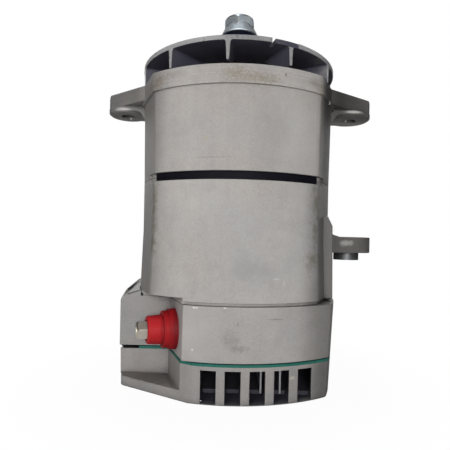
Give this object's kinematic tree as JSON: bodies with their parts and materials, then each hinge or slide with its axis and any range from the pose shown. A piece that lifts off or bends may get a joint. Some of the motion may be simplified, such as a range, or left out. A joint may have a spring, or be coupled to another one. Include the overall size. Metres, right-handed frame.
{
  "type": "alternator",
  "caption": "Heavy-duty vehicle alternator: cast housings round a claw-pole rotor, fan at the drive end, slotted rear cover over the rectifier, pivot ears and a booted output stud",
  "frame": {"origin": "on the shaft axis, in the rear face of the end cover", "axes": "+Z along the shaft to the drive end, +X to the side with the pivot ears and the sliding bush, +Y away from the side that carries the output terminal notch"},
  "size_m": [0.289, 0.204, 0.3912],
  "materials": {
    "cast_aluminium": "sandblasted casting",
    "green_gasket": "matt",
    "laminations": "black varnish",
    "copper": "enamelled copper",
    "zinc_steel": "bluish zinc plate",
    "bearing_steel": "ground",
    "pressed_steel": "plain",
    "shaft_steel": "turned",
    "pole_iron": "forged",
    "moulded_plastic": "moulded",
    "fan_paint": "black paint with turned edges",
    "dark_steel": "blackened",
    "carbon": "pressed carbon",
    "sink_aluminium": "plain casting",
    "diode_case": "nickel plate",
    "brass_stud": "plated",
    "yellow_zinc": "yellow zinc plate",
    "red_rubber": "moulded, satin",
    "bush_steel": "turned"
  },
  "bodies": {
    "housing": {"drive_end_housing": "cast_aluminium", "rear_housing": "cast_aluminium", "rectifier_housing": "cast_aluminium", "end_gasket": "green_gasket", "end_cover": "cast_aluminium", "stator_core": "laminations", "stator_winding": "copper", "through_bolts": "zinc_steel", "front_bearing_outer_ring": "bearing_steel", "rear_bearing_outer_ring": "bearing_steel", "bearing_retainer": "pressed_steel", "retainer_screws": "zinc_steel", "brush_holder": "moulded_plastic", "voltage_regulator": "moulded_plastic", "positive_heat_sink": "sink_aluminium", "negative_heat_sink": "sink_aluminium", "positive_diodes": "diode_case", "negative_diodes": "diode_case", "rectifier_insulators": "moulded_plastic", "rectifier_bolts": "zinc_steel", "bus_bar": "copper", "output_stud": "brass_stud", "stud_insulator": "moulded_plastic", "stud_inner_nut": "yellow_zinc", "terminal_boot": "red_rubber", "terminal_washer": "yellow_zinc", "terminal_nut": "yellow_zinc", "cover_screws": "zinc_steel", "skirt_screws": "zinc_steel"},
    "rotor": {"shaft": "shaft_steel", "pulley_key": "shaft_steel", "front_claw_pole": "pole_iron", "rear_claw_pole": "pole_iron", "field_bobbin": "moulded_plastic", "field_coil": "copper", "slip_rings": "copper", "slip_ring_carrier": "moulded_plastic", "fan": "fan_paint", "fan_spacer": "shaft_steel", "shaft_washer": "dark_steel", "shaft_nut": "zinc_steel", "front_bearing_inner_ring": "bearing_steel", "rear_bearing_inner_ring": "bearing_steel"},
    "front_cage": {"front_bearing_balls": "bearing_steel", "front_bearing_cage": "pressed_steel"},
    "rear_cage": {"rear_bearing_rollers": "bearing_steel", "rear_bearing_cage": "pressed_steel"},
    "lower_brush_body": {"lower_brush": "carbon", "lower_brush_spring": "pressed_steel"},
    "upper_brush_body": {"upper_brush": "carbon", "upper_brush_spring": "pressed_steel"},
    "bush": {"pivot_bush": "bush_steel"}
  },
  "joints": [
    {"name": "rotor_spin", "type": "hinge", "parent": "housing", "child": "rotor", "pos_m": [0, 0, 0.2049], "axis": [0, 0, 1], "continuous": true},
    {"name": "front_cage_spin", "type": "hinge", "parent": "housing", "child": "front_cage", "pos_m": [0, 0, 0.2824], "axis": [0, 0, 1], "continuous": true},
    {"name": "rear_cage_spin", "type": "hinge", "parent": "housing", "child": "rear_cage", "pos_m": [0, 0, 0.101], "axis": [0, 0, 1], "continuous": true},
    {"name": "lower_brush_slide", "type": "slide", "parent": "housing", "child": "lower_brush_body", "axis": [0, 1, 0], "range_m": [0, 0.008], "stiffness_N_per_m": 300, "springref_m": -0.02, "deforming": ["lower_brush_spring"]},
    {"name": "upper_brush_slide", "type": "slide", "parent": "housing", "child": "upper_brush_body", "axis": [0, 1, 0], "range_m": [0, 0.008], "stiffness_N_per_m": 300, "springref_m": -0.02, "deforming": ["upper_brush_spring"]},
    {"name": "bush_slide", "type": "slide", "parent": "housing", "child": "bush", "axis": [0, 0, 1], "range_m": [0, 0.008]}
  ],
  "couplings": [
    {"joint": "front_cage_spin", "follows": "rotor_spin", "ratio": 0.3852},
    {"joint": "rear_cage_spin", "follows": "rotor_spin", "ratio": 0.3943}
  ]
}
